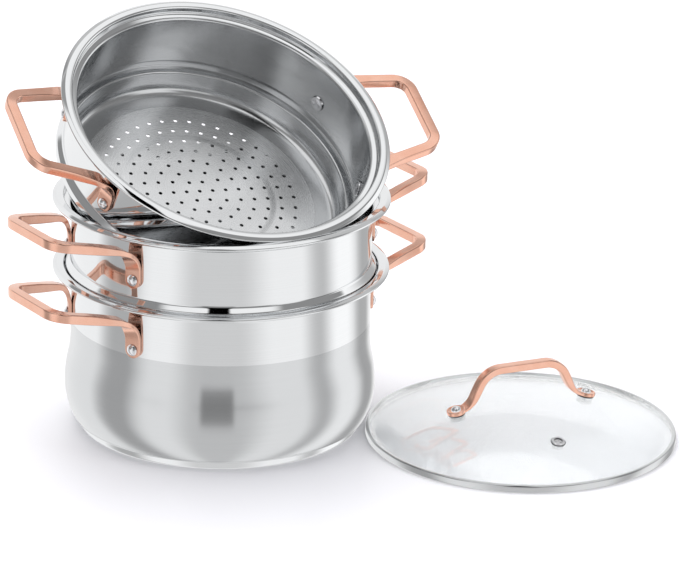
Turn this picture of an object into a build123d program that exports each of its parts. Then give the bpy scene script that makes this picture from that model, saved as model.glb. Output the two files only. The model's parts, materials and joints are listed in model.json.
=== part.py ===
from build123d import *
from math import asin, atan, cos, degrees, radians, sin, sqrt, tan
import os

os.makedirs("parts", exist_ok=True)

# Pressed sheet of every vessel, and the rim that all three share
sheet = 0.8
wall_radius = 130.5
seat_step = 5.5
seat_radius = wall_radius + seat_step
seat_depth = 7.0
seat_bevel = 1.2
lip_width = 10.0
lip_radius = seat_radius + lip_width
hem_width = 3.2
hem_height = 3.2
hem_bevel = 0.9

# Pot: height to the rim, belly, and the disc base under the floor
pot_height = 145.5
belly_swell = 5.1
belly_radius = wall_radius + belly_swell
belly_height = 37.0
belly_low_arc = 58.0
shoulder_height = 83.0
pot_corner = 6.0
base_height = 6.6
base_inset = 12.6
base_radius = belly_radius - base_inset
base_cap_sheet = 0.6
base_cap_corner = 2.0

# Steamer tier: pitch of the stack, bead that rests in the seat, neck and floor
tier_pitch = 62.5
tier_depth = 91.0
bead_play = 1.3
bead_radius = seat_radius - bead_play
bead_top = 58.5
bead_flare = 4.5
bead_bevel = 1.2
neck_play = 3.7
neck_radius = wall_radius - sheet - neck_play
neck_taper = 1.0
neck_foot_radius = neck_radius - neck_taper
tier_corner = 9.0
floor_inset = 21.0
floor_radius = neck_foot_radius - floor_inset

# Holes of the steamer floor: one in the middle and rings round it
hole_radius = 1.75
hole_sides = 5
hole_field_share = 0.835
ring_count = 7
holes_per_ring = 6
ring_pitch = floor_radius * hole_field_share / ring_count

# The top tier leans in the mouth of the middle one: its rim centre from the middle rim's
tilt_angle = 28.9
tilt_spin = -9.0
tilt_forward = 7.8
tilt_lift = 70.0

# Side handles: bar, legs, and the flattened feet that the rivets hold
foot_angle = 24.0
foot_gap = 0.1
pad_width = 15.0
pad_thickness = 3.2
pad_bevel = 0.6
leg_depth = 16.5
leg_taper_share = 0.45
bar_overhang = 44.0
bar_reach = lip_radius + bar_overhang
bar_half = 41.0
bar_depth = 5.0
bar_height = 9.2
bar_thickness = 6.6
bar_bevel = 1.2
bar_bend = 17.0
foot_bend = 15.0

# Rivets of the side handles
rivet_depth = 42.0
rivet_radius = 2.5
rivet_hole_gap = 0.1
rivet_head_radius = 5.0
rivet_head_edge = 0.8
rivet_head_height = 3.4
rivet_tail_radius = 5.4
rivet_tail_height = 1.2
rivet_tail_gap = 0.15

# Lid: its steel band and domed glass, and where it lies with its edge under the pot's belly
band_play = 0.6
band_radius = seat_radius - band_play
lid_tuck = 6.1
lid_turn = -39.64
lid_reach = belly_radius + band_radius - lid_tuck
lid_spin = -10.0
band_height = 7.0
band_sheet = 0.7
band_top_flange = 7.0
band_foot_flange = 3.0
glass_thickness = 4.0
glass_rise = 27.4
glass_edge_width = 8.4
glass_shoulder = band_radius - glass_edge_width
glass_gap = 0.1

# Lid handle: a bent bar on two round feet with raised edges
lid_foot_reach = 62.0
lid_foot_radius = 8.4
lid_foot_thickness = 2.2
lid_foot_edge = 1.4
lid_foot_edge_height = 1.2
lid_foot_run = 12.6
lid_bar_top = 64.0
lid_bar_half = 35.0
lid_bar_width = 8.0
lid_bar_thickness = 6.5
lid_bar_bevel = 1.0
lid_strap_width = 12.0
lid_strap_bevel = 0.6
lid_leg_taper_share = 0.5
lid_bar_bend = 16.0
lid_leg_bend = 10.0

# Rubber gaskets over and under the glass, and the lid rivets that clamp them
gasket_radius = 7.6
inner_gasket_radius = 7.0
gasket_thickness = 1.4
lid_rivet_radius = 2.0
lid_head_radius = 4.2
lid_head_edge = 0.7
lid_head_height = 3.0
lid_tail_radius = 5.0
lid_tail_height = 1.0

# Steam vent: eyelet through the glass with a pierced guard, on a ring gasket
vent_reach = 80.0
vent_turn = -92.7
vent_bore_radius = 3.2
vent_tube_radius = 3.9
vent_flange_radius = 6.0
vent_flange_height = 1.1
vent_foot_radius = 5.0
vent_foot_height = 0.8
vent_guard_thickness = 0.6
vent_guard_hole_radius = 0.8
vent_guard_ring_radius = 1.9
vent_guard_holes = 5
vent_gasket_radius = 6.6
vent_gasket_thickness = 0.8
vent_hole_gap = 0.1

# Planes of the vessels, each at the centre of its rim, and of the lid where it lies
pot_rim = Plane.XY.offset(pot_height)
middle_rim = pot_rim.offset(tier_pitch)
tilt_origin = middle_rim.origin + Vector(0, -tilt_forward, tilt_lift)
top_rim = Plane(tilt_origin).rotated((tilt_angle, 0, tilt_spin))
lid_centre = Vector(lid_reach, 0, 0).rotate(Axis.Z, lid_turn)
lid_seat = Plane(lid_centre).rotated((0, 0, lid_spin))

# Turns of the handles round a vessel, and of the feet round a handle
handle_turns = {"right": 0, "left": 180}
foot_turns = (-foot_angle, foot_angle)


def upright(base):
    """The plane that holds the axis of base, its X across and its Y up the axis."""
    return Plane(base.origin, x_dir=base.x_dir, z_dir=-base.y_dir)


def axis_of(base):
    return Axis(base.origin, base.z_dir)


def save(part, name):
    part.label = name
    export_step(part, f"parts/{name}.step")


def parallel(points, gap):
    """An open outline moved to its left by gap, with its corners kept sharp."""
    ends = [Vector(*point) for point in points]
    runs = [(after - before).normalized() for before, after in zip(ends, ends[1:])]
    normals = [Vector(-run.Y, run.X) for run in runs]
    corners = [
        point + (before + after) * (gap / (1 + before.dot(after)))
        for point, before, after in zip(ends[1:-1], normals, normals[1:])
    ]
    return [ends[0] + normals[0] * gap, *corners, ends[-1] + normals[-1] * gap]


def sheet_outline(lower_wall):
    """Outline of a vessel's sheet: up the outside, over the hem and down the inside."""
    outside = [
        *lower_wall,
        (wall_radius, -seat_depth - sheet - seat_bevel),
        (wall_radius + seat_bevel, -seat_depth - sheet),
        (seat_radius + sheet, -seat_depth - sheet),
        (seat_radius + sheet, -sheet),
        (lip_radius - hem_width, -sheet),
    ]
    hem = [
        (lip_radius - hem_width, -hem_height),
        (lip_radius - hem_bevel, -hem_height),
        (lip_radius, hem_bevel - hem_height),
        (lip_radius, -hem_bevel),
        (lip_radius - hem_bevel, 0),
    ]
    return [*outside, *hem, *reversed(parallel(outside, sheet))]


def round_corner(section, corner, radius):
    fillet(section.vertices().sort_by_distance(corner)[0], radius=radius)


# Rivets, shared by the side handles and the lid handle
def foot_plane(rim, turn):
    """Plane on the outside of a vessel's wall at a rivet, with its Z out of the wall."""
    turned = rim.rotated((0, 0, turn))
    centre = turned.origin + turned.x_dir * wall_radius - turned.z_dir * rivet_depth
    return Plane(centre, x_dir=turned.y_dir, z_dir=turned.x_dir)


def wall_feet(rim):
    """Planes of the four rivets on the wall of a vessel."""
    return [foot_plane(rim, turn + foot) for turn in handle_turns.values() for foot in foot_turns]


def draw_rivet(radius, head, tail, grip):
    """Half section of a rivet from its domed head, at 0, to its flat tail past the grip."""
    head_radius, head_edge, head_height = head
    tail_radius, tail_height = tail
    dome = TangentArc((0, head_height), (head_radius, head_edge), tangent=(1, 0))
    Polyline(
        dome @ 1,
        (head_radius, 0),
        (radius, 0),
        (radius, -grip),
        (tail_radius, -grip),
        (tail_radius, -grip - tail_height),
        (0, -grip - tail_height),
        dome @ 0,
    )


def build_rivets(seats, radius, head, tail, grip):
    """Rivets with the undersides of their heads on the seats."""
    with BuildPart() as rivets:
        for seat in seats:
            with BuildSketch(upright(seat)):
                with BuildLine():
                    draw_rivet(radius, head, tail, grip)
                make_face()
            revolve(axis=axis_of(seat))
    return rivets.part


# Side handle: half of it is bent from a bar and flattened at its foot, then mirrored
def beveled_rectangle(place, width, height, bevel):
    with BuildSketch(place) as section:
        Rectangle(width, height)
        chamfer(section.vertices(), length=bevel)
    return section.sketch


def across(path, share, up):
    """Plane square to a path, with its Y as near to up as it can be."""
    along = path % share
    level = (up - along * up.dot(along)).normalized()
    return Plane(path @ share, x_dir=level.cross(along), z_dir=along)


def bend(start, corner, end, radius):
    """Straight run, bend and straight run from start to end, rounded at the corner."""
    back = (start - corner).normalized()
    ahead = (end - corner).normalized()
    reach = radius / tan(radians(back.get_angle(ahead)) / 2)
    first = Edge.make_line(start, corner + back * reach)
    arc = Edge.make_tangent_arc(first @ 1, -back, corner + ahead * reach)
    return first, arc, Edge.make_line(arc @ 1, end)


side_foot = foot_plane(Plane.XY, foot_angle)
side_pad = side_foot.offset(foot_gap)
pad_middle = side_foot.offset(foot_gap + pad_thickness / 2).origin
bar_corner = Vector(bar_reach, bar_half, -bar_depth)
side_knee = Vector(pad_middle.X, pad_middle.Y, -leg_depth)
taper_start = side_knee + (bar_corner - side_knee) * leg_taper_share
bar_middle = Vector(bar_reach, 0, -bar_depth)
arm_path = Wire(bend(bar_middle, bar_corner, taper_start, bar_bend))
leg, heel, pad_drop = bend(taper_start, side_knee, pad_middle, foot_bend)
foot_path = Wire([leg, heel])
bar_start = across(arm_path, 0, Plane.XY.z_dir)
leg_start = across(foot_path, 0, Plane.XY.z_dir)
pad_top = across(foot_path, 1, -side_foot.z_dir)
bar_section = beveled_rectangle(bar_start, bar_thickness, bar_height, bar_bevel)
leg_section = beveled_rectangle(leg_start, bar_thickness, bar_height, bar_bevel)
pad_section = beveled_rectangle(pad_top, pad_width, pad_thickness, pad_bevel)
with BuildPart() as side_handle:
    sweep(sections=bar_section, path=arm_path)
    sweep(sections=[leg_section, pad_section], path=foot_path, multisection=True)
    with BuildSketch(side_pad):
        Circle(pad_width / 2)
        with Locations((0, pad_drop.length / 2)):
            Rectangle(pad_width, pad_drop.length)
    extrude(amount=pad_thickness)
    with BuildSketch(side_pad):
        Circle(rivet_radius + rivet_hole_gap)
    extrude(amount=pad_thickness, mode=Mode.SUBTRACT)
    mirror(about=Plane.XZ)

side_rivets = build_rivets(
    [foot_plane(Plane.XY, foot).offset(foot_gap + pad_thickness) for foot in foot_turns],
    rivet_radius,
    (rivet_head_radius, rivet_head_edge, rivet_head_height),
    (rivet_tail_radius, rivet_tail_height),
    pad_thickness + foot_gap + sheet + rivet_tail_gap,
)


def save_handles_and_rivets(vessel, rim):
    for side, turn in handle_turns.items():
        place = rim.location * Rot(Z=turn)
        save(side_handle.part.moved(place), f"{vessel}_handle_{side}")
        save(side_rivets.moved(place), f"{vessel}_rivets_{side}")


# Pot: floor, belly and wall in one sheet, turned round the axis
def pot_lower_side(inset):
    """Floor and belly up to the shoulder, drawn inset into the sheet."""
    belly = belly_height - pot_height
    shoulder = shoulder_height - pot_height
    floor_height = base_height - pot_height + inset
    low_arc = belly_low_arc - inset
    reach = belly_radius - belly_low_arc + sqrt(low_arc**2 - (belly - floor_height) ** 2)
    sway = 2 * atan((belly_radius - wall_radius) / (shoulder_height - belly_height))
    swing = (shoulder_height - belly_height) / 2 / sin(sway)
    floor = Line((0, floor_height), (reach, floor_height))
    low = RadiusArc(floor @ 1, (belly_radius - inset, belly), -low_arc)
    out = JernArc(low @ 1, (0, 1), swing - inset, degrees(sway))
    JernArc(out @ 1, out % 1, swing + inset, -degrees(sway))
    return floor


pot_wall = sheet_outline([(wall_radius, shoulder_height - pot_height)])
with BuildPart() as pot_body:
    with BuildSketch(upright(pot_rim)) as pot_section:
        with BuildLine():
            under_floor = pot_lower_side(0)
            over_floor = pot_lower_side(sheet)
            Polyline(*pot_wall)
            Line(under_floor @ 0, over_floor @ 0)
        make_face()
        round_corner(pot_section, under_floor @ 1, pot_corner)
        round_corner(pot_section, over_floor @ 1, pot_corner - sheet)
    revolve(axis=axis_of(pot_rim))
    for foot in wall_feet(pot_rim):
        with BuildSketch(foot):
            Circle(rivet_radius + rivet_hole_gap)
        extrude(amount=pad_thickness, both=True, mode=Mode.SUBTRACT)
save(pot_body.part, "pot_body")

# Base: an aluminium disc that spreads the heat, closed in by a steel cap
with BuildPart() as base_core:
    with BuildSketch(Plane.XY.offset(base_cap_sheet)):
        Circle(base_radius - base_cap_sheet)
    extrude(amount=base_height - base_cap_sheet)
    fillet(base_core.edges().group_by(Axis.Z)[0], radius=base_cap_corner - base_cap_sheet)
save(base_core.part, "pot_base_core")

with BuildPart() as base_cap:
    with BuildSketch(Plane.XY):
        Circle(base_radius)
    extrude(amount=base_height)
    fillet(base_cap.edges().group_by(Axis.Z)[0], radius=base_cap_corner)
    add(base_core.part, mode=Mode.SUBTRACT)
save(base_cap.part, "pot_base_cap")

save_handles_and_rivets("pot", pot_rim)

# Steamer tiers: wall with its bead and neck, and the pierced floor inside the corner
tier_floor_height = -tier_depth - sheet
bead_foot = -tier_pitch - seat_depth
tier_outline = sheet_outline([
    (floor_radius, tier_floor_height),
    (neck_foot_radius, tier_floor_height),
    (neck_radius, bead_foot),
    (bead_radius - bead_bevel, bead_foot),
    (bead_radius, bead_foot + bead_bevel),
    (bead_radius, -bead_top - bead_flare),
    (wall_radius, -bead_top),
])
with BuildPart() as tier_wall:
    with BuildSketch(Plane.XZ) as tier_section:
        with BuildLine():
            Polyline(*tier_outline, close=True)
        make_face()
        round_corner(tier_section, tier_outline[1], tier_corner + sheet)
        round_corner(tier_section, tier_outline[-2], tier_corner)
    revolve(axis=Axis.Z)
    for foot in wall_feet(Plane.XY):
        with BuildSketch(foot):
            Circle(rivet_radius + rivet_hole_gap)
        extrude(amount=pad_thickness, both=True, mode=Mode.SUBTRACT)

with BuildPart() as tier_floor:
    with BuildSketch(Plane.XY.offset(tier_floor_height)):
        Circle(floor_radius)
        RegularPolygon(hole_radius, hole_sides, mode=Mode.SUBTRACT)
        for ring in range(1, ring_count + 1):
            with PolarLocations(ring_pitch * ring, holes_per_ring * ring):
                RegularPolygon(hole_radius, hole_sides, mode=Mode.SUBTRACT)
    extrude(amount=sheet)

for tier, rim in {"middle_steamer": middle_rim, "top_steamer": top_rim}.items():
    save(tier_wall.part.moved(rim.location), f"{tier}_wall")
    save(tier_floor.part.moved(rim.location), f"{tier}_floor")
    save_handles_and_rivets(tier, rim)

# Lid: glass with a flat edge and a dome, clamped in a steel band
glass_edge = band_height - band_sheet - glass_gap
dome_radius = (glass_shoulder**2 + glass_rise**2) / (glass_rise + glass_rise)
dome_drop = dome_radius - glass_rise
dome_centre = Plane.XY.offset(glass_edge - dome_drop)


def save_on_lid(part, name):
    save(part.moved(lid_seat.location), name)


def dome_plane(turn, reach):
    """Plane on top of the glass at a reach from the axis, with its Z square to the glass."""
    outward = Vector(1, 0, 0).rotate(Axis.Z, turn)
    lean = asin(reach / dome_radius)
    normal = outward * sin(lean) + dome_centre.z_dir * cos(lean)
    along = outward * cos(lean) - dome_centre.z_dir * sin(lean)
    return Plane(dome_centre.origin + normal * dome_radius, x_dir=along, z_dir=normal)


def glass_side(inset):
    """Upper or lower face of the glass in half section, from its edge to the axis."""
    edge = band_radius - band_sheet - glass_gap
    height = glass_edge - inset
    radius = dome_radius - inset
    shoulder = sqrt(radius**2 - (dome_drop - inset) ** 2)
    flat = Line((edge, height), (shoulder, height))
    dome = RadiusArc(flat @ 1, (0, height + radius - dome_drop + inset), -radius)
    return flat, dome


lid_feet = [dome_plane(turn, lid_foot_reach) for turn in handle_turns.values()]
vent_seat = dome_plane(vent_turn, vent_reach)
with BuildPart() as lid_glass:
    with BuildSketch(Plane.XZ):
        with BuildLine():
            top_edge, top_dome = glass_side(0)
            low_edge, low_dome = glass_side(glass_thickness)
            Line(top_edge @ 0, low_edge @ 0)
            Line(top_dome @ 1, low_dome @ 1)
        make_face()
    revolve(axis=Axis.Z)
    for foot in lid_feet:
        with BuildSketch(foot):
            Circle(lid_rivet_radius + rivet_hole_gap)
        extrude(amount=glass_thickness * 2, both=True, mode=Mode.SUBTRACT)
    with BuildSketch(vent_seat):
        Circle(vent_tube_radius + vent_hole_gap)
    extrude(amount=glass_thickness * 2, both=True, mode=Mode.SUBTRACT)
save_on_lid(lid_glass.part, "lid_glass")

band_outside = [
    (band_radius - band_foot_flange, 0),
    (band_radius, 0),
    (band_radius, band_height),
    (band_radius - band_top_flange, band_height),
]
with BuildPart() as lid_band:
    with BuildSketch(Plane.XZ):
        with BuildLine():
            Polyline(*band_outside, *reversed(parallel(band_outside, band_sheet)), close=True)
        make_face()
    revolve(axis=Axis.Z)
save_on_lid(lid_band.part, "lid_rim_band")

# Lid handle: the bar is bent over the dome and flattened into its two round feet
lid_foot = dome_plane(0, lid_foot_reach)
lid_foot_base = lid_foot.offset(gasket_thickness)
foot_middle = lid_foot_base.offset(lid_foot_thickness / 2).origin
lid_knee = foot_middle - lid_foot.x_dir * lid_foot_run
lid_shoulder = Vector(lid_bar_half, 0, lid_bar_top)
lid_taper_start = lid_knee + (lid_shoulder - lid_knee) * lid_leg_taper_share
lid_bar_middle = Vector(0, 0, lid_bar_top)
lid_arm_path = Wire(bend(lid_bar_middle, lid_shoulder, lid_taper_start, lid_bar_bend))
lid_leg, lid_heel, lid_strap = bend(lid_taper_start, lid_knee, foot_middle, lid_leg_bend)
lid_foot_path = Wire([lid_leg, lid_heel])
lid_bar_start = across(lid_arm_path, 0, Plane.XY.z_dir)
lid_leg_start = across(lid_foot_path, 0, Plane.XY.z_dir)
lid_strap_start = across(lid_foot_path, 1, lid_foot.z_dir)
lid_bar_section = beveled_rectangle(lid_bar_start, lid_bar_width, lid_bar_thickness, lid_bar_bevel)
lid_leg_section = beveled_rectangle(lid_leg_start, lid_bar_width, lid_bar_thickness, lid_bar_bevel)
lid_strap_section = beveled_rectangle(
    lid_strap_start, lid_strap_width, lid_foot_thickness, lid_strap_bevel
)
with BuildPart() as lid_handle:
    sweep(sections=lid_bar_section, path=lid_arm_path)
    sweep(sections=[lid_leg_section, lid_strap_section], path=lid_foot_path, multisection=True)
    with BuildSketch(lid_foot_base):
        Circle(lid_foot_radius)
        with Locations((-lid_strap.length / 2, 0)):
            Rectangle(lid_strap.length, lid_strap_width)
    extrude(amount=lid_foot_thickness)
    with BuildSketch(lid_foot_base.offset(lid_foot_thickness)):
        Circle(lid_foot_radius)
        Circle(lid_foot_radius - lid_foot_edge, mode=Mode.SUBTRACT)
        with Locations((-lid_foot_radius, 0)):
            Rectangle(lid_foot_radius, lid_strap_width, mode=Mode.SUBTRACT)
    extrude(amount=lid_foot_edge_height)
    with BuildSketch(lid_foot_base):
        Circle(lid_rivet_radius + rivet_hole_gap)
    extrude(amount=lid_foot_thickness, mode=Mode.SUBTRACT)
    mirror(about=Plane.YZ)
save_on_lid(lid_handle.part, "lid_handle")

# Gaskets over and under the glass at each foot, and the rivets through them
inner_gasket_depth = glass_thickness + glass_gap + gasket_thickness
for name, radius, height in (
    ("lid_handle_gaskets", gasket_radius, 0),
    ("lid_inner_gaskets", inner_gasket_radius, -inner_gasket_depth),
):
    with BuildPart() as gaskets:
        for foot in lid_feet:
            with BuildSketch(foot.offset(height)):
                Circle(radius)
                Circle(lid_rivet_radius + rivet_hole_gap, mode=Mode.SUBTRACT)
            extrude(amount=gasket_thickness)
    save_on_lid(gaskets.part, name)

lid_grip = lid_foot_thickness + gasket_thickness + inner_gasket_depth
lid_heads = [foot.offset(gasket_thickness + lid_foot_thickness) for foot in lid_feet]
lid_head = (lid_head_radius, lid_head_edge, lid_head_height)
lid_tail = (lid_tail_radius, lid_tail_height)
save_on_lid(build_rivets(lid_heads, lid_rivet_radius, lid_head, lid_tail, lid_grip), "lid_handle_rivets")

# Steam vent: an eyelet flared under the glass, with a pierced guard across its bore
with BuildPart() as vent_gasket:
    with BuildSketch(vent_seat):
        Circle(vent_gasket_radius)
        Circle(vent_tube_radius + vent_hole_gap, mode=Mode.SUBTRACT)
    extrude(amount=vent_gasket_thickness)
save_on_lid(vent_gasket.part, "steam_vent_gasket")

vent_top = vent_gasket_thickness
vent_foot = -glass_thickness - glass_gap
with BuildPart() as vent:
    with BuildSketch(upright(vent_seat)):
        with BuildLine():
            Polyline(
                (vent_bore_radius, vent_foot - vent_foot_height),
                (vent_foot_radius, vent_foot - vent_foot_height),
                (vent_foot_radius, vent_foot),
                (vent_tube_radius, vent_foot),
                (vent_tube_radius, vent_top),
                (vent_flange_radius, vent_top),
                (vent_flange_radius - vent_flange_height / 2, vent_top + vent_flange_height),
                (vent_bore_radius, vent_top + vent_flange_height),
                close=True,
            )
        make_face()
    revolve(axis=axis_of(vent_seat))
    with BuildSketch(vent_seat):
        Circle(vent_bore_radius)
        with PolarLocations(vent_guard_ring_radius, vent_guard_holes):
            Circle(vent_guard_hole_radius, mode=Mode.SUBTRACT)
    extrude(amount=vent_guard_thickness)
save_on_lid(vent.part, "steam_vent_eyelet")
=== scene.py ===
import json
from math import atan, atan2, cos, pi, radians, sin, sqrt, tan

import bmesh
import bpy
from mathutils import Matrix, Vector

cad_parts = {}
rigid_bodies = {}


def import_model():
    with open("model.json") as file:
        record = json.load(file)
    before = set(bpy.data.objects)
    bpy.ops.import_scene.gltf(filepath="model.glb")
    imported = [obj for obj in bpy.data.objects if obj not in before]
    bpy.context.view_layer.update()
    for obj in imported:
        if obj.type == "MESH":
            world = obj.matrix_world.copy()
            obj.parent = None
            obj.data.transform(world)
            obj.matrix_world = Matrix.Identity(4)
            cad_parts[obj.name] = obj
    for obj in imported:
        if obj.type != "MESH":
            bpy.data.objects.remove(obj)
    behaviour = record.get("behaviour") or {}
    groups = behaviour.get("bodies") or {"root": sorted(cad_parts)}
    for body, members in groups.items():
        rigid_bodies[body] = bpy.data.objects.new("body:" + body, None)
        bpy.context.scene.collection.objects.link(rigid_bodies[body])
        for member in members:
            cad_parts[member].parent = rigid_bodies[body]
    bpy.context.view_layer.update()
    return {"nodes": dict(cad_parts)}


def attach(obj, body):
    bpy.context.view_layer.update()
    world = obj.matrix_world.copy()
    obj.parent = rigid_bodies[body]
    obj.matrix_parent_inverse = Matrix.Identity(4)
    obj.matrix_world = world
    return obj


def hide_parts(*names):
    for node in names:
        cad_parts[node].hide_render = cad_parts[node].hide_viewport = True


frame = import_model()

# Lengths below are in millimetres, as in the part's source; MM turns them into metres
MM = 0.001
UP = Vector((0, 0, 1))
ON_AXIS = 1e-6

# Sides of round pieces, and steps of the bars' bends and straight runs
DISC_SIDES = 192
VESSEL_SIDES = 256
SMALL_SIDES = 48
RIVET_SIDES = 40
BEND_STEPS = 14
LID_LEG_STEPS = 12
RUN_STEPS = 4
PAD_STEPS = 9

sheet = 0.8
wall_radius = 130.5
seat_radius = 136.0
seat_depth = 7.0
lip_radius = 146.0
hem = 3.2
lip_slope = 3.6
lip_droop = 1.8
pot_height = 145.5
belly_radius = 135.6
belly_height = 37.0
belly_low_arc = 58.0
shoulder_height = 83.0
polish_height = 97.0
pot_corner = 6.0
base_height = 6.6
base_radius = 123.0
cap_sheet = 0.6
cap_bend = 2.0
cap_inner_bend = 1.4
tier_pitch = 62.5
tier_depth = 91.0
bead_radius = 134.7
bead_top = 58.5
bead_flare = 4.5
neck_radius = 126.0
neck_foot_radius = 125.0
tier_corner = 9.0
neck_drop = 1.2
seat_foot_bend = 2.0
seat_bend = 2.2
lip_bend = 1.4
lip_edge_bend = 3.0
hem_inner_bend = 0.3
hem_foot_bend = 0.6
hem_edge_bend = 0.5
hem_brow_bend = 1.2
least_bend = 0.25
finish_margin = 0.5
bead_bends = (0.9, 1.6, 2.4, 3.0)
floor_radius = 104.0
hole_radius = 1.75
hole_sides = 14
ring_pitch = 12.4
ring_count = 7
tilt_angle = 28.9
tilt_spin = -9.0
tilt_forward = 7.8
tilt_lift = 70.0
foot_angle = 24.0
foot_gap = 0.1
pad_width = 15.0
pad_thickness = 3.2
pad_bevel = 0.7
pad_thinning = 0.5
leg_depth = 17.2
leg_taper_share = 0.6
bar_reach = 188.6
bar_half = 39.8
bar_depth = 5.0
bar_height = 8.3
bar_thickness = 9.2
bar_bevel = 1.2
bar_bend = 16.5
foot_bend = 20.0
rivet_depth = 42.0
rivet_play = 0.15
lid_reach = 264.9
lid_turn = -39.64
lid_spin = -10.0
band_radius = 135.4
band_height = 7.0
band_sheet = 0.7
band_top_flange = 3.6
band_foot_flange = 3.0
band_bend = 1.5
band_inner_bend = 0.8
band_top_bend = 0.3
band_foot_bend = 0.2
glass_thickness = 4.0
glass_rise = 27.4
glass_shoulder = 127.0
glass_gap = 0.1
glass_bend = 6.0
glass_edge_bend = 0.8
lid_foot_reach = 62.0
lid_foot_radius = 8.4
lid_foot_thickness = 2.2
lid_foot_run = 12.6
lid_foot_edge_width = 1.4
lid_foot_edge_height = 1.2
lid_foot_bend = 0.7
lid_foot_edge_bend = 0.6
lid_foot_inner_bend = 0.8
lid_bar_top = 63.7
lid_bar_half = 35.0
lid_bar_width = 9.0
lid_bar_thickness = 7.0
lid_bar_bevel = 1.3
lid_strap_width = 12.0
lid_bar_bend = 22.0
lid_leg_bend = 20.0
lid_taper_share = 0.5
gasket_thickness = 1.4
gasket_hole = 2.1
outer_gasket_radius = 7.6
inner_gasket_radius = 7.0
gasket_bend = 0.5
gasket_hole_bend = 0.2
vent_reach = 80.0
vent_turn = -92.7
vent_bore = 3.2
vent_neck = 3.9
vent_collar = 6.0
vent_collar_top = 5.6
vent_flange = 5.0
vent_top = 1.9
vent_foot = -4.9
vent_flange_top = -4.1
vent_fine_bend = 0.2
vent_edge_bend = 0.3
vent_top_bend = 0.5
vent_gasket_hole = 4.0
vent_gasket_radius = 6.6
vent_gasket_thickness = 0.8
guard_radius = 3.3
guard_thickness = 0.6
guard_hole_radius = 1.0
guard_hole_reach = 1.9
guard_hole_count = 5
guard_hole_sides = 12

# Rivets: the shank's radius, then radius, edge and height of the head, then radius and height of the tail
side_rivet = (2.5, (5.0, 0.8, 3.4), (7.0, 1.5))
lid_rivet = (2.0, (4.2, 1.6, 4.0), (5.0, 1.0))

# Bend radii inside a tier, each corner counted back from the one at the floor's edge
tier_inner_bends = {-2: tier_corner, -3: 1.7, -4: 0.8, -5: 1.6, -6: 3.6}


def turned(angle):
    return Matrix.Rotation(radians(angle), 4, "Z")


def spot(x, y, z):
    return Matrix.Translation((x, y, z))


pot_rim = spot(0, 0, pot_height)
middle_rim = spot(0, 0, pot_height + tier_pitch)
top_rim = (
    spot(0, -tilt_forward, pot_height + tier_pitch + tilt_lift)
    @ Matrix.Rotation(radians(tilt_angle), 4, "X")
    @ turned(tilt_spin)
)
lid_seat = turned(lid_turn) @ spot(lid_reach, 0, 0) @ turned(lid_spin - lid_turn)
rims = {"pot": pot_rim, "middle_steamer": middle_rim, "top_steamer": top_rim}


# Shader helpers. Places, bump depths and the step's radii are in metres.
NOISE_LOW = 0.3
NOISE_HIGH = 0.7
QUARTER_TURN = 0.25
BRUSH_SCALE = (9, 9, 2600)
SMUDGE_SCALE = (14, 14, 22)
SOFT_SCALE = (25, 25, 25)
RING_SCALE = 1800.0
BRUSH_DEPTH = 0.00003
CLOUD_DEPTH = 0.0001
FLOOR_DEPTH = 0.00045
STEP_START = 0.0630
STEP_END = 0.0700
BRUSH_SHARE = 0.03
STREAK_SHADE = 0.96


def new_material(name):
    material = bpy.data.materials.new(name)
    material.use_nodes = True
    return material, material.node_tree, material.node_tree.nodes["Principled BSDF"]


def add_node(tree, kind, inputs=None, **settings):
    node = tree.nodes.new(kind)
    for key, value in settings.items():
        setattr(node, key, value)
    for key, value in (inputs or {}).items():
        if isinstance(value, bpy.types.NodeSocket):
            tree.links.new(value, node.inputs[key])
        else:
            node.inputs[key].default_value = value
    return node


def local_position(tree, place):
    """Position in a piece's own frame, in metres, whichever way the piece lies."""
    here = add_node(tree, "ShaderNodeTexCoord").outputs["Object"]
    mapping = add_node(tree, "ShaderNodeMapping", {"Vector": here}, vector_type="TEXTURE")
    mapping.inputs["Location"].default_value = place.to_translation() * MM
    mapping.inputs["Rotation"].default_value = place.to_euler()
    return mapping.outputs["Vector"]


def scaled(tree, vector, scale):
    return add_node(tree, "ShaderNodeMapping", {"Vector": vector, "Scale": scale}).outputs["Vector"]


def noise(tree, vector, scale, detail):
    node = add_node(tree, "ShaderNodeTexNoise", {"Vector": vector, "Scale": scale, "Detail": detail})
    return node.outputs["Fac"]


def between(tree, value, low, high):
    """Spreads the middle of a noise from low to high."""
    node = add_node(tree, "ShaderNodeMapRange", {
        "Value": value,
        "From Min": NOISE_LOW,
        "From Max": NOISE_HIGH,
        "To Min": low,
        "To Max": high,
    })
    return node.outputs["Result"]


def bump(tree, height, strength, distance):
    node = add_node(tree, "ShaderNodeBump", {
        "Height": height,
        "Strength": strength,
        "Distance": distance,
    })
    return node.outputs["Normal"]


def brushed_round(tree, shader, place, share):
    """Spread the shine across the circles round the axis of place, as brushing along them does."""
    here = add_node(tree, "ShaderNodeTexCoord").outputs["Object"]
    centre = place.to_translation() * MM
    axis = place.to_3x3() @ UP
    spoke = add_node(tree, "ShaderNodeVectorMath", {0: here, 1: centre}, operation="SUBTRACT")
    circle = add_node(tree, "ShaderNodeVectorMath", {
        0: axis,
        1: spoke.outputs["Vector"],
    }, operation="CROSS_PRODUCT")
    tangent = add_node(tree, "ShaderNodeVectorMath", {0: circle.outputs["Vector"]}, operation="NORMALIZE")
    shader.inputs["Anisotropic"].default_value = share
    shader.inputs["Anisotropic Rotation"].default_value = QUARTER_TURN
    tree.links.new(tangent.outputs["Vector"], shader.inputs["Tangent"])


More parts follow.
